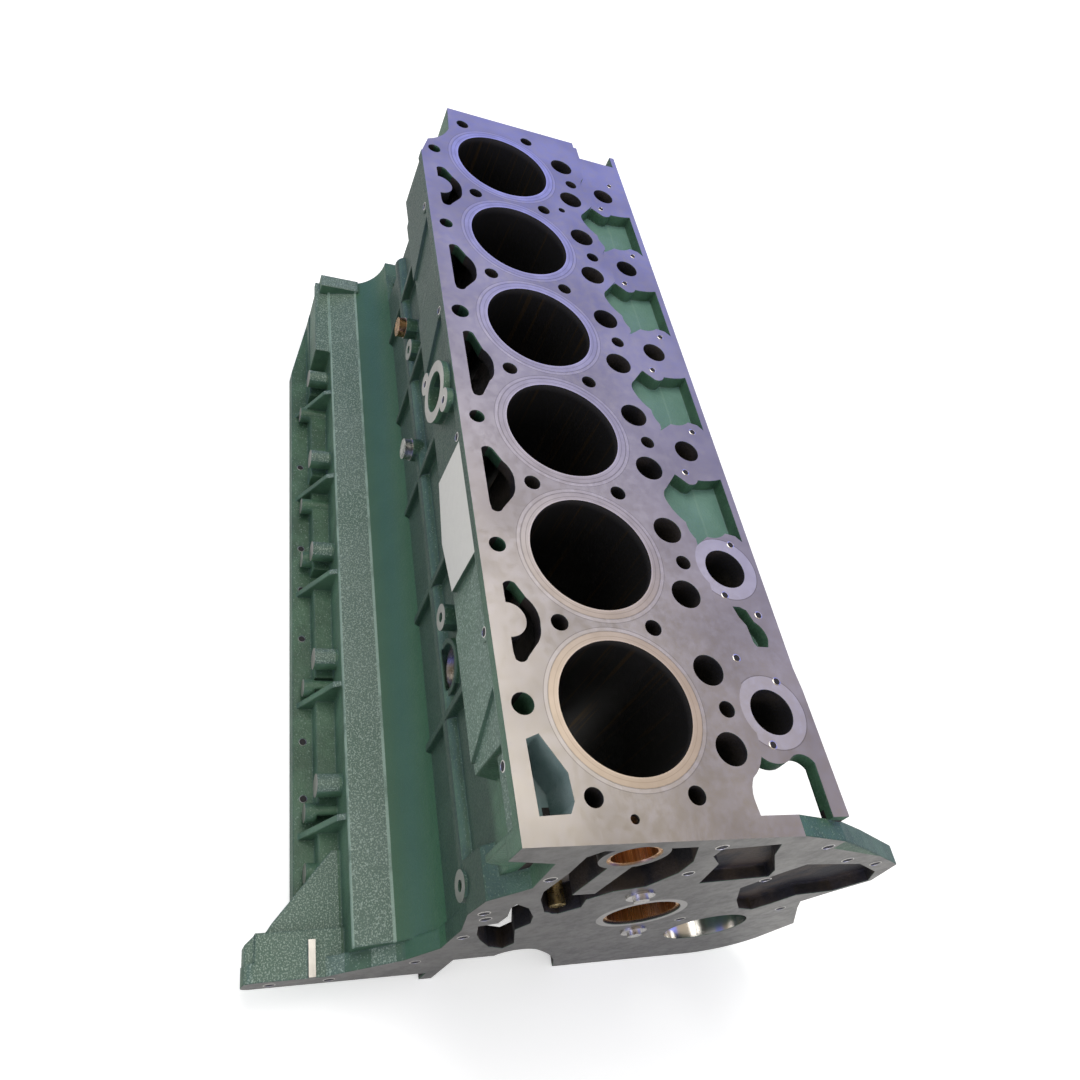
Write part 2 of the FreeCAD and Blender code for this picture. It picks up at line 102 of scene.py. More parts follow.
SHELF_POCKETS = dict(y=(OIL_RETURN_Y + 0.3, None), z=(POCKET_Z - 0.5, DECK - SKIN))
POCKET_FLOORS = dict(y=(OIL_RETURN_Y, None), z=(POCKET_Z - 1, POCKET_Z + 1.5))
BAND = dict(y=(-SKIRT - 3, -BAND_IN + 1), z=(BAND_OUT_Z - 8, BAND_IN_Z + 5))
BAND_INNER_EDGE = dict(y=(-BAND_IN - 2.2, -BAND_IN + 0.4), z=(BAND_IN_Z - 4, BAND_IN_Z + 3))
BAND_OUTER_EDGE = dict(y=(-SKIRT - 1.6, -SKIRT + 1.4), z=(BAND_OUT_Z - 4, BAND_OUT_Z + 2.5))
HOLLOW_TOP = 133.0
HOLLOW = dict(y=(-BAND_IN, -WAIST), z=(BAND_IN_Z - 0.5, HOLLOW_TOP))
WING = dict(y=(None, -SKIRT - 3), z=(WING_TOP - 8, None))
WING_STOP = dict(x=(FRONT - 31, None), y=(-170.6, -163.4), z=(WING_TOP + 0.3, WING_TOP + 5))
UNDER_LIP = dict(y=(-SIDE - 1.5, -60.0), z=(HOLLOW_TOP, DECK - 2))
PANEL_START = 196.0
PANEL = dict(x=(None, PLATE - 9), y=(None, -85.0), z=(None, DECK - 9.5))
SILL = dict(x=(BORES[5] + 20, BORES[5] + 80), y=(-84.5, -49.0), z=(DECK - 44, DECK - SKIN))
UPPER_WALL_Z = (290.0, DECK - 9.5)
PAD = dict(x=(90.5, 204.5), y=(-SIDE - 0.6, -SIDE + 0.6), z=UPPER_WALL_Z)
PORT_FACE = dict(y=(None, PORT_Y + 0.6), z=(UPPER_WALL_Z[0], None))
GALLERY_BOSSES = dict(y=(-WAIST - BOSS_OUT - 0.3, -WAIST - BOSS_OUT + 0.3), z=(None, 260.0))
SKIRT_BOSS_X = (REAR + 140, FRONT - 60)
UPPER_SKIRT_BOSSES = dict(x=SKIRT_BOSS_X, y=(-SKIRT - 24.5, -SKIRT - 23.5), z=(LEDGE_Z + 4.5, 260.0))
LOWER_SKIRT_BOSSES = dict(x=SKIRT_BOSS_X, y=(-SKIRT - 31.5, -SKIRT - 30.5), z=(RAIL_T + 2.5, 260.0))
SHELF_FACE = dict(y=(STEP_Y - 8, None), z=(SHELF - 0.5, SHELF + 0.5))
LINER_ROW = dict(x=(MAINS[0] + 0.5, MAINS[6] - 0.5))
NEAR_SEATS = dict(x=(BORES[4] - 40, None))
DRIVE_OPENING = dict(x=(PLATE - 1, FRONT - 0.3))
TOP_SEAT = dict(x=(FRONT - 23.7, FRONT + 0.2))

# The gear end: its deepest recess is on the water side of SHALLOW_Y, and the others reach to SHALLOW_X
GEAR_RECESSES = dict(x=(396.0, FRONT - SKIN), y=(-62.0, None), z=(None, DECK - 13))
SHALLOW_X = FRONT - 23
SHALLOW_Y = 64.0
RECESS_FLOORS = dict(z=(30.0, None))
LOWER_WALLS = dict(y=(None, 60.0), z=(60.0, None))
UPPER_WALLS = dict(y=(60.0, 158.0), z=(255.0, None))
OUTER_POCKET = dict(x=(PLATE + 5.5, None), y=(143.0, 284.5), z=(162.0, 299.5))
LOW_FLOOR = dict(x=(405.0, 416.0), z=(None, 262.0))
RIM_OUTER_Y = 240.0
RIM_INNER_Y = -30.0

# The upper corner of the flange by the gear train is left painted, above a slanting line
CORNER_START_Y = 171.0
CORNER_SLOPE = -0.40
CORNER_Z = DECK + 36.0

# Colours of the green paint, and of painted glints, sheen, shade and light on it
GREEN_DEEP = (0.034, 0.086, 0.047)
GREEN_MID = (0.060, 0.138, 0.078)
GREEN_PALE = (0.082, 0.165, 0.106)
GREEN_GLINT = (0.25, 0.34, 0.28)
GREEN_PAINTED_SHADE = (0.010, 0.036, 0.020)
HOLLOW_GREEN = (0.029, 0.104, 0.048)
POCKET_DEEP = (0.105, 0.215, 0.172)
POCKET_PALE = (0.130, 0.250, 0.205)
POCKET_SEAM = (0.20, 0.32, 0.25)
BAND_DEEP = (0.070, 0.132, 0.092)
BAND_PALE = (0.100, 0.158, 0.125)
BAND_GLINT_SPECK = (0.33, 0.42, 0.36)
BAND_EDGE_HIGHLIGHT = (0.30, 0.42, 0.35)
SILL_DEEP = (0.17, 0.26, 0.25)
SILL_PALE = (0.27, 0.35, 0.35)

# Colours of raw iron, and of oiled iron darkened by painted shade in the gear end's recesses
RAW_DARK = (0.020, 0.018, 0.016)
RAW_BROWN = (0.055, 0.045, 0.036)
OIL_SHADE_DARK = (0.016, 0.015, 0.014)
OIL_BROWN = (0.055, 0.041, 0.028)
OIL_FLOOR = (0.17, 0.155, 0.13)

# Colours of the ground faces, with dark lines and a painted shadow line among them
GROUND_DEEP = (0.37, 0.355, 0.335)
GROUND_PALE = (0.47, 0.455, 0.43)
GROUND_DUST = (0.34, 0.32, 0.29)
FRONT_GREY = (0.095, 0.09, 0.085)
RING_BRIGHT = (0.66, 0.64, 0.62)
LINE_AND_SHADOW_DARK = (0.14, 0.13, 0.12)
CAM_LAND = (0.58, 0.56, 0.53)
PAD_BRIGHT = (0.66, 0.65, 0.63)
SEAT_BRIGHT = (0.70, 0.70, 0.71)

# The liners: crossed hone lines, as waves round the bore and radians per millimetre of height
HONE_WAVES = 90.0
HONE_CLIMB = 1.7
# Wall and rim colours, with a painted reflection streak, painted light at the wall's top and a painted highlight at
# the rim's inner edge
WALL_DARK = (0.075, 0.072, 0.068)
WALL_REFLECTION_STREAK = (0.17, 0.115, 0.06)
WALL_TOP_LIT = (0.20, 0.19, 0.18)
RIM_DEEP = (0.48, 0.465, 0.445)
RIM_PALE = (0.60, 0.585, 0.565)
RIM_GROOVE = (0.16, 0.15, 0.14)
RIM_INNER_HIGHLIGHT = (0.80, 0.78, 0.76)
RIM_WARM = (0.78, 0.63, 0.45)


def at(x, y, z):
    """A point of the casting in the row's frame, in metres."""
    return Vector(((x - SHIFT_X) * MM, (y - SHIFT_Y) * MM, z * MM))


class Nodes:
    """A node tree, with short calls for the sums and mixes in it. A mask is 1 where it holds, else 0."""

    def __init__(self, owner):
        owner.use_nodes = True
        self.tree = owner.node_tree
        self.tree.nodes.clear()

    def new(self, kind):
        return self.tree.nodes.new(kind)

    def link(self, source, target):
        self.tree.links.new(source, target)

    def feed(self, socket, value):
        if isinstance(value, bpy.types.NodeSocket):
            self.link(value, socket)
        elif isinstance(value, tuple) and socket.type == "RGBA" and len(value) == 3:
            socket.default_value = value + (1.0,)
        else:
            socket.default_value = value

    def calc(self, kind, a, b=0.0, c=0.0):
        node = self.new("ShaderNodeMath")
        node.operation = kind
        self.feed(node.inputs[0], a)
        self.feed(node.inputs[1], b)
        self.feed(node.inputs[2], c)
        return node.outputs[0]

    def over(self, a, limit):
        return self.calc("GREATER_THAN", a, limit)

    def under(self, a, limit):
        return self.calc("LESS_THAN", a, limit)

    def both(self, *masks):
        result = masks[0]
        for mask in masks[1:]:
            result = self.calc("MULTIPLY", result, mask)
        return result

    def either(self, *masks):
        result = masks[0]
        for mask in masks[1:]:
            result = self.calc("MAXIMUM", result, mask)
        return result

    def within(self, a, low, high):
        return self.both(self.over(a, low), self.under(a, high))

    def apart_from(self, mask):
        return self.calc("SUBTRACT", 1.0, mask)

    def ramp(self, a, low, high, start=0.0, end=1.0):
        """Runs softly from start to end while a runs from low to high."""
        node = self.new("ShaderNodeMapRange")
        node.interpolation_type = "SMOOTHSTEP"
        for i, value in enumerate((a, low, high, start, end)):
            self.feed(node.inputs[i], value)
        return node.outputs[0]

    def mix(self, factor, a, b):
        """Colour a where the factor is 0, and b where it is 1."""
        node = self.new("ShaderNodeMix")
        node.data_type = "RGBA"
        self.feed(node.inputs[0], factor)
        self.feed(node.inputs[6], a)
        self.feed(node.inputs[7], b)
        return node.outputs[2]

    def blend(self, factor, a, b):
        """The same for plain numbers."""
        node = self.new("ShaderNodeMix")
        node.data_type = "FLOAT"
        self.feed(node.inputs[0], factor)
        self.feed(node.inputs[2], a)
        self.feed(node.inputs[3], b)
        return node.outputs[0]

    def split(self, vector):
        node = self.new("ShaderNodeSeparateXYZ")
        self.link(vector, node.inputs[0])
        return node.outputs[0], node.outputs[1], node.outputs[2]

    def stretched(self, vector, factors):
        node = self.new("ShaderNodeVectorMath")
        node.operation = "MULTIPLY"
        self.link(vector, node.inputs[0])
        node.inputs[1].default_value = factors
        return node.outputs[0]

    def noise(self, vector, size, detail=3.0, rough=0.55):
        """Noise with features about size millimetres across."""
        node = self.new("ShaderNodeTexNoise")
        self.link(vector, node.inputs["Vector"])
        node.inputs["Scale"].default_value = 1.0 / size
        node.inputs["Detail"].default_value = detail
        node.inputs["Roughness"].default_value = rough
        return node.outputs[0]

    def radius_about(self, u, v, u0, v0):
        du = self.calc("SUBTRACT", u, u0)
        dv = self.calc("SUBTRACT", v, v0)
        return self.calc("SQRT", self.calc("ADD", self.calc("MULTIPLY", du, du), self.calc("MULTIPLY", dv, dv)))


class Look(Nodes):
    """A material with one shader."""

    def __init__(self, name):
        self.mat = bpy.data.materials.new(name)
        super().__init__(self.mat)
        self.bsdf = self.new("ShaderNodeBsdfPrincipled")
        self.link(self.bsdf.outputs["BSDF"], self.new("ShaderNodeOutputMaterial").inputs["Surface"])

    def put(self, name, value):
        self.feed(self.bsdf.inputs[name], value)

    def place(self):
        """Object coordinates on the crankshaft line, in millimetres."""
        coord = self.new("ShaderNodeTexCoord")
        node = self.new("ShaderNodeVectorMath")
        node.operation = "MULTIPLY_ADD"
        self.link(coord.outputs["Object"], node.inputs[0])
        node.inputs[1].default_value = (1 / MM, 1 / MM, 1 / MM)
        node.inputs[2].default_value = (SHIFT_X, SHIFT_Y, 0.0)
        return node.outputs[0]

    def nearest_bore(self, x):
        """Distance along the row from the nearest cylinder's centre."""
        shifted = self.calc("ADD", x, -FIRST + PITCH / 2)
        return self.calc("ADD", self.calc("FLOORED_MODULO", shifted, PITCH), -PITCH / 2)

    def facing(self):
        geometry = self.new("ShaderNodeNewGeometry")
        return self.split(geometry.outputs["True Normal"])

    def bump(self, height, distance, normal=None, strength=1.0):
        node = self.new("ShaderNodeBump")
        node.inputs["Strength"].default_value = strength
        node.inputs["Distance"].default_value = distance * MM
        self.link(height, node.inputs["Height"])
        if normal is not None:
            self.link(normal, node.inputs["Normal"])
        return node.outputs[0]

    def rounded(self, radius):
        node = self.new("ShaderNodeBevel")
        node.samples = 6
        node.inputs["Radius"].default_value = radius * MM
        return node.outputs[0]


class Casting(Look):
    """The green casting, with the raw, oiled and ground faces on it, and painted light and shade on some of them."""

    def __init__(self):
        super().__init__("green_casting")
        self.spot = self.place()
        self.x, self.y, self.z = self.split(self.spot)
        self.nx, self.ny, self.nz = self.facing()
        self.grain = self.noise(self.spot, 1.7, 2.0, 0.6)
        self.blotch = self.noise(self.spot, 34.0, 3.0)
        self.patch = self.noise(self.spot, 110.0, 2.0)
        self.dust = self.noise(self.spot, 9.0, 4.0, 0.7)
        self.bore_dx = self.nearest_bore(self.x)
        self.bore_r = self.radius_about(self.bore_dx, self.y, 0.0, 0.0)
        self.pump_r = self.radius_about(self.bore_dx, self.y, 0.0, PUMP_Y)
        self.cam_r = self.radius_about(self.y, self.z, CAM_Y, CAM_Z)

        # Ground and milled faces
        top = self.over(self.nz, 0.95)
        outer = self.under(self.ny, -0.95)
        slant = self.calc("MULTIPLY_ADD", self.y, CORNER_SLOPE, CORNER_Z)
        corner = self.both(self.over(self.y, CORNER_START_Y), self.over(self.z, slant))
        self.deck = self.both(top, self.over(self.z, DECK - SKIN))
        self.shelf = self.both(top, self.box(**SHELF_FACE))
        self.front = self.both(self.over(self.nx, 0.95), self.over(self.x, FRONT - 0.3), self.apart_from(corner))
        self.rail = self.both(self.under(self.nz, -0.95), self.under(self.z, SKIN))
        self.pad = self.both(outer, self.box(**PAD))
        self.drive_wall = self.both(self.under(self.radius_about(self.y, self.z, PTO_Y, PTO_Z), PTO_R + 0.6),
                                    self.box(**DRIVE_OPENING))
        top_seat = self.both(self.under(self.radius_about(self.y, self.z, TOP_RING_Y, TOP_RING_Z), TOP_RING_R + 0.4),
                             self.box(**TOP_SEAT))
        bosses = self.both(outer, self.boxes(PORT_FACE, GALLERY_BOSSES, UPPER_SKIRT_BOSSES, LOWER_SKIRT_BOSSES))
        self.machined = self.either(self.deck, self.shelf, self.front, self.rail, self.pad, self.drive_wall, top_seat,
                                    bosses, self.box(**WING_STOP))

    def box(self, x=OPEN, y=OPEN, z=OPEN):
        masks = []
        for value, (low, high) in ((self.x, x), (self.y, y), (self.z, z)):
            if low is not None:
                masks.append(self.over(value, low))
            if high is not None:
                masks.append(self.under(value, high))
        return self.both(*masks)

    def boxes(self, *sides):
        return self.either(*(self.box(**side) for side in sides))

    def walls_inside(self):
        """Raw iron inside the jacket, the bays and the holes."""
        jacket = self.both(self.boxes(UPPER_JACKET, LOWER_JACKET),
                           self.apart_from(self.boxes(GEAR_CORNER, FAR_CORNER)))
        bay_side = self.calc("MULTIPLY_ADD", self.z, BAY_LEAN, SKIRT)
        bays = self.both(self.box(**CRANK_BAYS), self.under(self.calc("ABSOLUTE", self.y), bay_side))
        tunnel = self.both(self.under(self.cam_r, CAM_BORE_R + 1), self.box(**CAM_TUNNEL))
        pumps = self.both(self.under(self.pump_r, PUMP_R + 1), self.box(**PUMP_BORES))
        outdoors = self.either(self.both(self.over(self.ny, 0.1), self.box(**CAM_SIDE)),
                               self.both(self.under(self.ny, -0.2), self.box(**WATER_SIDE)),
                               self.box(**FAR_CORNER_TOP))
        return self.both(self.either(jacket, bays, tunnel, pumps),
                         self.apart_from(self.either(self.pocket_walls(), outdoors)))

    def pocket_walls(self):
        """The pockets of the shelf are painted, and reach in between the pushrod holes."""
        rods = [self.under(self.radius_about(self.bore_dx, self.y, x, PUSHROD_Y), PUSHROD_R + 0.7)
                for x in (1 - PUSHROD_X, PUSHROD_X)]
        oil_return = self.under(self.radius_about(self.bore_dx, self.y, 1.0, OIL_RETURN_Y), OIL_RETURN_R + 0.6)
        drilled = self.either(*rods, oil_return, self.under(self.pump_r, PUMP_R + 1))
        return self.both(self.box(**SHELF_POCKETS), self.apart_from(drilled))

    def sheen_and_grey_paint(self):
        """The pale grey-green with fine specks: on the band and the wing, painted sheen and glints where they face up;
        on the panel by the gear end, the grey paint itself.
        """
        fine = self.ramp(self.noise(self.spot, 1.5, 2.0, 0.6), 0.50, 0.64)
        plain = self.mix(self.ramp(self.patch, 0.3, 0.7), BAND_DEEP, BAND_PALE)
        return self.mix(self.both(fine, 0.75), plain, BAND_GLINT_SPECK)

    def plain_paint(self):
        """Cloudy green, with painted glints as light specks, more on what faces up, and the pale floors of the shelf's
        pockets, partly painted light.
        """
        cloud = self.ramp(self.blotch, 0.35, 0.68)
        paint = self.mix(cloud, GREEN_DEEP, GREEN_MID)
        paint = self.mix(self.ramp(self.patch, 0.48, 0.70, 0.0, 0.45), paint, GREEN_PALE)
        # Painted glints: light specks, more where the paint faces up
        glint = self.both(self.ramp(self.grain, 0.57, 0.70), self.blend(self.ramp(self.nz, 0.3, 0.95), 0.14, 0.60))
        paint = self.mix(glint, paint, GREEN_GLINT)
        seam_y = self.calc("ADD", self.y, self.calc("MULTIPLY", self.blotch, 4.0))
        seam = self.both(self.ramp(seam_y, 136.4, 137.8), self.ramp(seam_y, 138.4, 140.0, 1.0, 0.0))
        # The pockets' floors: pale blue-green paint, made paler still with painted light where they face up
        pale = self.mix(self.both(seam, 0.35), self.mix(cloud, POCKET_DEEP, POCKET_PALE), POCKET_SEAM)
        return self.mix(self.both(self.over(self.nz, 0.9), self.box(**POCKET_FLOORS)), paint, pale)

    def paint(self):
        sheen_and_grey = self.sheen_and_grey_paint()
        # Painted sheen and glints where the band and the wing face up
        paint = self.mix(self.both(self.over(self.nz, 0.6), self.boxes(BAND, WING)), self.plain_paint(), sheen_and_grey)
        hollow = self.both(self.under(self.ny, -0.1), self.box(**HOLLOW))
        paint = self.mix(self.both(hollow, 0.85), paint, HOLLOW_GREEN)
        # Painted highlights, in patches, along the band's two edges
        edge_highlight_patches = self.ramp(self.blotch, 0.35, 0.55, 0.25, 0.75)
        paint = self.mix(self.both(self.boxes(BAND_INNER_EDGE, BAND_OUTER_EDGE), edge_highlight_patches), paint, BAND_EDGE_HIGHLIGHT)

        # The wall under the deck's lip is darkened with painted shade, apart from a pale panel by the gear end
        beside = self.either(self.ramp(self.x, PANEL_START - 6, PANEL_START + 44, 1.0, 0.0),
                             self.ramp(self.z, DECK - 112, DECK - 98, 1.0, 0.0))
        shade = self.both(self.under(self.nz, 0.5), self.box(**UNDER_LIP), beside)
        paint = self.mix(self.both(shade, 0.80), paint, GREEN_PAINTED_SHADE)
        panel = self.both(self.under(self.ny, -0.9), self.box(**PANEL),
                          self.ramp(self.x, PANEL_START, PANEL_START + 30), self.ramp(self.z, DECK - 104, DECK - 84))
        paint = self.mix(self.both(panel, 0.75), paint, sheen_and_grey)

        # The window by the last bore is pale inside
        pale = self.mix(self.ramp(self.blotch, 0.35, 0.65), SILL_DEEP, SILL_PALE)
        return self.mix(self.box(**SILL), paint, pale)

    def gear_recess(self):
        """Recesses of the gear end, without the outside of its rim and the back of the flange."""
        floors = self.both(self.over(self.nx, 0.9), self.box(**RECESS_FLOORS))
        deep_side = self.either(self.over(self.x, SHALLOW_X), self.under(self.y, SHALLOW_Y))
        rim_edge = self.either(self.both(self.over(self.y, RIM_OUTER_Y), self.over(self.ny, 0.3)),
                               self.both(self.under(self.y, RIM_INNER_Y), self.under(self.ny, -0.2)))
        return self.both(self.box(**GEAR_RECESSES), deep_side, self.over(self.nx, -0.5), self.apart_from(rim_edge),
                         self.either(floors, self.boxes(LOWER_WALLS, UPPER_WALLS, OUTER_POCKET)))

    def oil_and_shade(self):
        # Oiled iron darkened with painted shade in the recesses, browner in patches, with a paler low floor
        oily_shade = self.mix(self.ramp(self.blotch, 0.42, 0.62), OIL_SHADE_DARK, OIL_BROWN)
        return self.mix(self.both(self.over(self.nx, 0.9), self.box(**LOW_FLOOR)), oily_shade, OIL_FLOOR)

    def metal(self):
        """Ground metal, with turned lands, fine dark lines round the liners and the bush, and a painted shadow line
        round the near pump seats.
        """
        metal = self.mix(self.ramp(self.noise(self.spot, 70.0, 2.0), 0.3, 0.7), GROUND_DEEP, GROUND_PALE)
        metal = self.mix(self.ramp(self.dust, 0.62, 0.80, 0.0, 0.35), metal, GROUND_DUST)
        stain = self.ramp(self.blotch, 0.3, 0.7, 0.72, 0.92)
        metal = self.mix(self.both(self.either(self.front, self.rail), stain), metal, FRONT_GREY)

        row = self.both(self.deck, self.box(**LINER_ROW))
        seats = self.both(self.shelf, self.box(**NEAR_SEATS))
        seat_r = PUMP_FACE_R - 0.7
        metal = self.mix(self.both(row, self.within(self.bore_r, COLLAR_R, COLLAR_R + 3.5), 0.4), metal, RING_BRIGHT)
        cam_land = self.both(self.front, self.within(self.cam_r, CAM_BUSH_R, CAM_LAND_R))
        metal = self.mix(self.both(cam_land, 0.7), metal, CAM_LAND)
        liner_lines = self.either(self.within(self.bore_r, COLLAR_R + 3.2, COLLAR_R + 3.9),
                                  self.within(self.bore_r, COLLAR_R - 1, COLLAR_R + 0.5))
        cam_line = self.within(self.cam_r, CAM_LAND_R - 0.1, CAM_LAND_R + 0.9)
        # Dark lines round the liners and the bush, and a painted shadow line round the near pump seats
        lines = self.either(self.both(row, liner_lines), self.both(self.front, cam_line),
                            self.both(seats, self.within(self.pump_r, seat_r, PUMP_FACE_R + 0.2)))
        metal = self.mix(self.both(lines, 0.45), metal, LINE_AND_SHADOW_DARK)
        metal = self.mix(self.either(self.drive_wall, self.pad), metal, PAD_BRIGHT)
        return self.mix(self.both(seats, self.under(self.pump_r, seat_r), 0.6), metal, SEAT_BRIGHT)

    def relief(self):
        """Cast grain with softened edges on the paint, and faint grinding lines on the metal."""
        cast = self.bump(self.grain, 0.42, self.rounded(3.0))
        cast = self.bump(self.noise(self.spot, 7.0, 2.0), 0.9, cast, 0.5)
        lines = self.noise(self.stretched(self.spot, (0.05, 1.0, 1.0)), 1.1, 2.0, 0.5)
        node = self.new("ShaderNodeMix")
        node.data_type = "VECTOR"
        self.feed(node.inputs[0], self.machined)
        self.link(cast, node.inputs[4])
        self.link(self.bump(lines, 0.02), node.inputs[5])
        return node.outputs[1]

    def material(self):
        inside = self.walls_inside()
        recess = self.gear_recess()
        dark = self.either(inside, recess)
        raw = self.mix(self.ramp(self.blotch, 0.4, 0.65), RAW_DARK, RAW_BROWN)
        colour = self.mix(recess, self.mix(inside, self.paint(), raw), self.oil_and_shade())
        self.put("Base Color", self.mix(self.machined, colour, self.metal()))
        self.put("Metallic", self.blend(self.machined, self.blend(dark, 0.0, 0.35), 1.0))
        paint_rough = self.blend(dark, self.blend(self.ramp(self.grain, 0.35, 0.7), 0.42, 0.62), 0.62)
        metal_rough = self.blend(self.drive_wall, self.blend(self.ramp(self.dust, 0.3, 0.8), 0.30, 0.44), 0.16)
        self.put("Roughness", self.blend(self.machined, paint_rough, metal_rough))
        self.put("Normal", self.relief())
        return self.mat


def liner_look():
    """A honed wall, dark and oiled, with painted reflection streaks along it, a top in painted light, and a bright
    turned rim with a painted highlight at its inner edge.
    """
    look = Look("liner_iron")
    spot = look.place()
    x, y, z = look.split(spot)
    wall = look.under(look.calc("ABSOLUTE", look.facing()[2]), 0.5)
    dx = look.nearest_bore(x)
    radius = look.radius_about(dx, y, 0.0, 0.0)

    around = look.calc("ARCTAN2", y, dx)
    climb = look.calc("MULTIPLY", z, HONE_CLIMB)
    waves = [look.calc("SINE", look.calc("MULTIPLY_ADD", around, count, climb)) for count in (HONE_WAVES, -HONE_WAVES)]
    hone = look.calc("ADD", *waves)
    streak = look.noise(look.stretched(spot, (1.0, 1.0, 0.03)), 5.0, 3.0, 0.6)
    # Painted reflection streaks along the bore
    dark = look.mix(look.ramp(streak, 0.55, 0.72), WALL_DARK, WALL_REFLECTION_STREAK)
    # Painted light on the top of the wall, near the rim
    dark = look.mix(look.ramp(z, DECK - 10, DECK - 1), dark, WALL_TOP_LIT)

    rim = look.mix(look.ramp(look.noise(spot, 22.0, 3.0), 0.3, 0.7), RIM_DEEP, RIM_PALE)
    groove = look.either(look.within(radius, 57.3, 57.9), look.within(radius, COLLAR_R - 0.6, COLLAR_R + 0.3))
    rim = look.mix(look.both(groove, 0.45), rim, RIM_GROOVE)
    # A painted highlight on the rim's inner edge
    rim = look.mix(look.both(look.under(radius, LINER_BORE_R + 1.2), 0.5), rim, RIM_INNER_HIGHLIGHT)
    # The ring of the last cylinder is warm from the lamps of the hall
    rim = look.mix(look.ramp(x, 180.0, 330.0, 0.0, 0.45), rim, RIM_WARM)

    look.put("Base Color", look.mix(wall, rim, dark))
    look.put("Metallic", look.blend(wall, 1.0, 0.85))
    look.put("Roughness", look.blend(wall, 0.30, 0.36))
    look.put("Normal", look.bump(look.both(hone, wall), 0.01))
    return look.mat


def metal_look(name, low, high, rough, size=6.0):
    """Turned metal, clouded from one colour to the other."""
    look = Look(name)
    spot = look.place()
    cloud = look.noise(spot, size, 3.0)
    turned = look.noise(look.stretched(spot, (1.0, 0.12, 1.0)), 0.8, 2.0)
    look.put("Base Color", look.mix(look.ramp(cloud, 0.35, 0.68), low, high))
    look.put("Metallic", 1.0)
    look.put("Roughness", look.blend(look.ramp(cloud, 0.35, 0.7), rough, rough + 0.14))
    look.put("Normal", look.bump(turned, 0.012))
    return look.mat


def bush_look():
    """Bored bronze, with streaks along the bore."""
    look = Look("bored_bronze")
    streak = look.noise(look.stretched(look.place(), (0.02, 1.0, 1.0)), 4.5, 2.0)
    look.put("Base Color", look.mix(look.ramp(streak, 0.38, 0.64), (0.42, 0.20, 0.07), (0.95, 0.58, 0.26)))
    look.put("Metallic", 1.0)
    look.put("Roughness", look.blend(look.ramp(streak, 0.35, 0.7), 0.34, 0.22))
    look.put("Normal", look.bump(streak, 0.012))
    return look.mat


# Painted shade: a dark mouth where a hole would be dark inside
def hole_shade_look():
    look = Look("hole_shade")
    cloud = look.noise(look.place(), 2.0, 2.0)
    look.put("Base Color", look.mix(cloud, (0.004, 0.004, 0.004), (0.014, 0.012, 0.010)))
    look.put("Roughness", 0.7)
    return look.mat


casting = Casting().material()
liner_iron = liner_look()
bronze = metal_look("bronze", (0.50, 0.25, 0.11), (0.74, 0.43, 0.22), 0.22, 9.0)
bored_bronze = bush_look()
brass = metal_look("brass", (0.62, 0.45, 0.17), (0.86, 0.68, 0.33), 0.22)
steel = metal_look("steel", (0.52, 0.50, 0.47), (0.70, 0.68, 0.64), 0.26)
hole_shade = hole_shade_look()
worn_rim = metal_look("worn_rim", (0.14, 0.17, 0.15), (0.24, 0.27, 0.25), 0.45)


def dress(name, material):
    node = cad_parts[name]
    node.data.materials.clear()
    node.data.materials.append(material)


dress("block_casting", casting)
for number in range(1, 7):
    dress("cylinder_liner_%d" % number, liner_iron)
dress("camshaft_bush", bored_bronze)
dress("top_bush", bored_bronze)
dress("core_plug_1", steel)
dress("gallery_plug_1", bronze)
dress("gallery_plug_2", steel)
dress("cam_thrust_screws", steel)
dress("brass_jet", brass)


# Small tapped and drilled holes: a bright countersunk lip round a dark mouth of painted shade, sizes in millimetres
LIP_OUT = 0.9
LIP_TOP_OUT = 0.2
LIP_FOOT = 0.02
LIP_RISE = 0.16
LIP_SIDES = 28


def hole_group(name, places, lip_material, lift=0.12):
    mesh = bpy.data.meshes.new(name)
    shape = bmesh.new()
    for centre, normal, radius in places:
        turn = Vector(normal).to_track_quat("Z", "Y").to_matrix()
        rings = []
        for r, h in ((radius + LIP_OUT, LIP_FOOT), (radius + LIP_TOP_OUT, lift + LIP_RISE), (radius, lift)):
            ring = []
            for k in range(LIP_SIDES):
                a = 2 * math.pi * k / LIP_SIDES
                point = turn @ Vector((r * math.cos(a), r * math.sin(a), h))
                ring.append(shape.verts.new(centre + point * MM))
            rings.append(ring)
        for low, high in zip(rings[:-1], rings[1:]):
            for k in range(LIP_SIDES):
                after = (k + 1) % LIP_SIDES
                shape.faces.new((low[k], low[after], high[after], high[k]))
        mouth = shape.faces.new(rings[-1])
        mouth.material_index = 1
    shape.normal_update()
    shape.to_mesh(mesh)
    shape.free()
    mesh.materials.append(lip_material)
    mesh.materials.append(hole_shade)
    piece = bpy.data.objects.new(name, mesh)
    bpy.context.scene.collection.objects.link(piece)
    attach(piece, "root")


UP = (0, 0, 1)
OUT = (0, -1, 0)
GEAR = (1, 0, 0)
pump_taps = []
for x in BORES:
    pump_taps.append((at(x - 27.0, PUMP_Y + 14.5, SHELF), UP, 2.8))
    pump_taps.append((at(x + 27.5, PUMP_Y - 9.0, SHELF), UP, 2.8))
for dx, y in ((-22.0, 151.0), (20.5, 114.5)):
    pump_taps.append((at(MAINS[5] + dx, y, SHELF), UP, 2.8))
ear_taps = [(at(x, -SIDE, DECK - 13), OUT, 3.4) for x in (-242.0, -78.0, 83.0, 274.0, 377.0)]
port_taps = [(at(PORT_X + s * 28.7, PORT_Y, PORT_Z + s * 20), OUT, 3.4) for s in (-1, 1)]
rail_holes = [(at(x, -167.0, RAIL_T), UP, 3.2) for x in (-147.6, -25.9, 30.1, 92.7, 211.0, 269.7)]
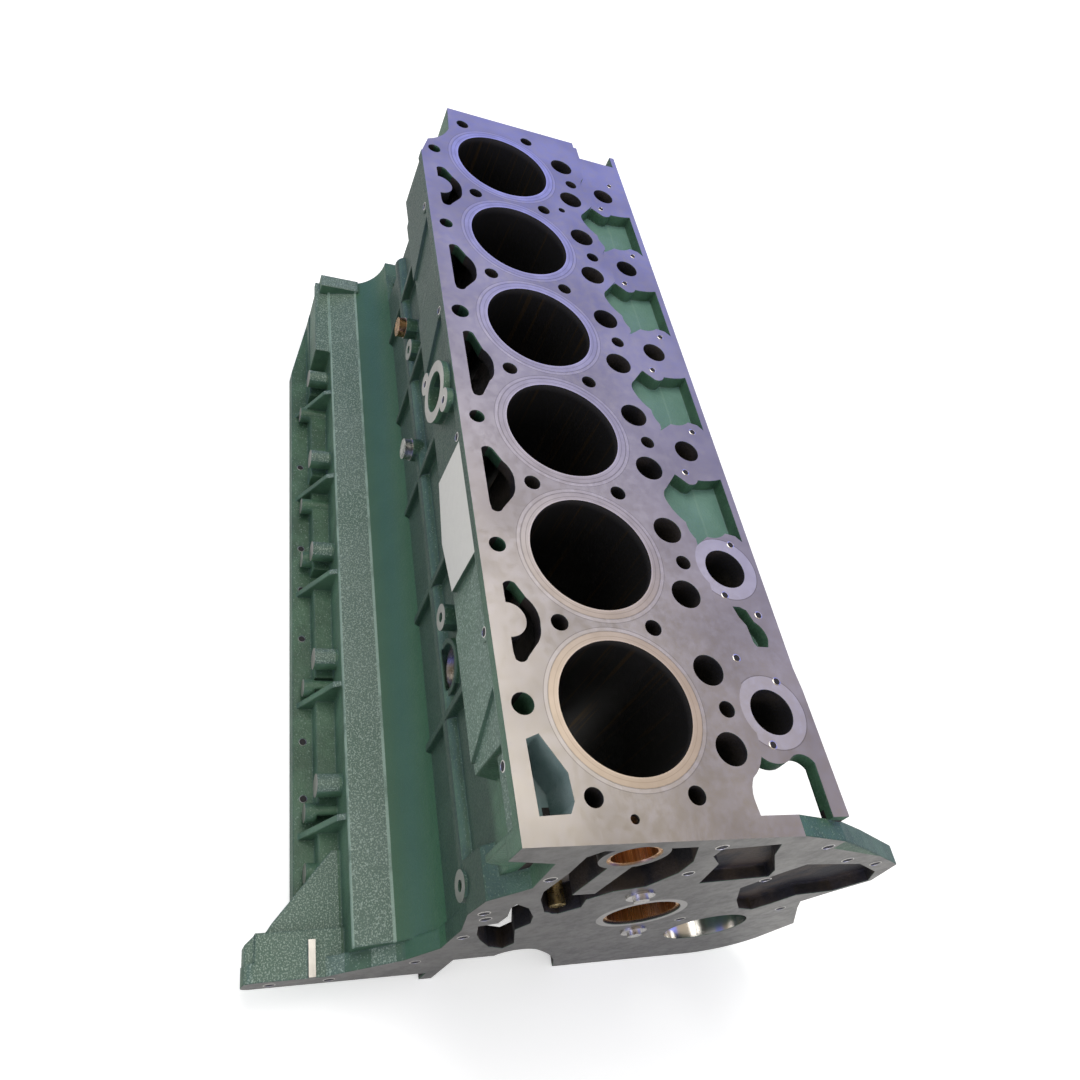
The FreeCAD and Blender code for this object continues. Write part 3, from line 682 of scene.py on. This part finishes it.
# Across the block, and up from the deck
face_places = [(61, -17), (-49, -72), (67, -77), (163, -28), (210, -65), (251, -80), (158, -108), (241, -208),
               (138, -218), (-71, -151), (-64, -168), (-84, -296), (-200, -334), (-150, -334), (-65, -221)]
face_taps = [(at(FRONT, y, DECK + z), GEAR, 4.4) for y, z in face_places]
hole_group("pump_seat_taps", pump_taps, steel)
hole_group("ear_taps", ear_taps, steel)
hole_group("port_flange_taps", port_taps, steel)
hole_group("rail_bolt_holes", rail_holes, worn_rim, 0.06)
hole_group("gear_face_taps", face_taps, steel)


# Floor, sky, lights and camera
def floor_look():
    """White, and glowing for the camera alone, more so away from the block."""
    look = Look("pale_floor")
    spot = look.new("ShaderNodeTexCoord").outputs["Object"]
    x, y = look.split(spot)[:2]
    look.put("Base Color", look.mix(look.noise(spot, 3.0, 2.0), (0.93, 0.93, 0.93), (0.95, 0.95, 0.95)))
    look.put("Roughness", 0.9)
    look.put("Emission Color", (1.0, 1.0, 1.0))
    to_camera = look.new("ShaderNodeLightPath").outputs["Is Camera Ray"]
    glow = look.ramp(look.radius_about(x, y, 0.0, 0.0), 0.7, 3.2, 0.42, 1.0)
    look.put("Emission Strength", look.calc("MULTIPLY", to_camera, glow))
    return look.mat


bpy.ops.mesh.primitive_plane_add(size=14.0, location=(0, 0, -0.0006))
floor = bpy.context.object
floor.name = "floor"
floor.data.materials.append(floor_look())


SKY_SOFT = (0.96, 0.98, 1.0)
SKY_LOW = (0.42, 0.48, 1.42)
SKY_HIGH = (0.60, 0.51, 0.40)


class Sky(Nodes):
    """White for the camera, a soft grey for the light, and two tints in what metal mirrors."""

    def background(self, colour, strength=1.0):
        node = self.new("ShaderNodeBackground")
        self.feed(node.inputs["Color"], colour)
        self.feed(node.inputs["Strength"], strength)
        return node.outputs[0]

    def choose(self, factor, a, b):
        node = self.new("ShaderNodeMixShader")
        for i, value in enumerate((factor, a, b)):
            self.link(value, node.inputs[i])
        return node.outputs[0]

    def fill(self):
        height = self.split(self.new("ShaderNodeTexCoord").outputs["Generated"])[2]
        tint = self.mix(self.ramp(height, 0.50, 0.70), SKY_LOW, SKY_HIGH)
        path = self.new("ShaderNodeLightPath").outputs
        mirrored = self.either(path["Is Glossy Ray"], path["Is Transmission Ray"])
        light = self.choose(mirrored, self.background(SKY_SOFT, 0.50), self.background(tint))
        seen = self.choose(path["Is Camera Ray"], light, self.background((1.0, 1.0, 1.0)))
        self.link(seen, self.new("ShaderNodeOutputWorld").inputs["Surface"])


world = bpy.data.worlds.new("studio")
bpy.context.scene.world = world
Sky(world).fill()


def area_light(name, place, target, size, watts, colour=(1.0, 1.0, 1.0)):
    data = bpy.data.lights.new(name, "AREA")
    data.shape = "SQUARE"
    data.size = size
    data.energy = watts
    data.color = colour
    lamp = bpy.data.objects.new(name, data)
    lamp.location = place
    lamp.rotation_euler = (Vector(target) - Vector(place)).to_track_quat("-Z", "Y").to_euler()
    bpy.context.scene.collection.objects.link(lamp)


area_light("key_above", (-0.5, -0.2, 2.4), (0.0, 0.0, 0.2), 1.4, 26.0, (1.0, 0.97, 0.93))
area_light("fill_side", (0.6, -2.2, 1.3), (0.0, -0.1, 0.15), 1.4, 10.0)
area_light("fill_gear_end", (2.3, 0.3, 0.9), (0.4, 0.0, 0.15), 1.2, 10.0, (1.0, 0.96, 0.90))

# The camera was solved from the photograph's deck holes, flange and pan rail
camera_data = bpy.data.cameras.new("camera")
camera = bpy.data.objects.new("camera", camera_data)
camera.matrix_world = Matrix((
    (0.157372, -0.798949, 0.580443, 0.600412),
    (0.916141, -0.101315, -0.387842, -0.372417),
    (0.368674, 0.592803, 0.716005, 0.911804),
    (0.0, 0.0, 0.0, 1.0),
))
camera_data.sensor_width = 36.0
camera_data.lens = 30.83
camera_data.shift_y = -0.026
camera_data.clip_start = 0.02
bpy.context.scene.collection.objects.link(camera)
bpy.context.scene.camera = camera
bpy.context.scene.view_settings.view_transform = "Standard"

bpy.context.view_layer.update()
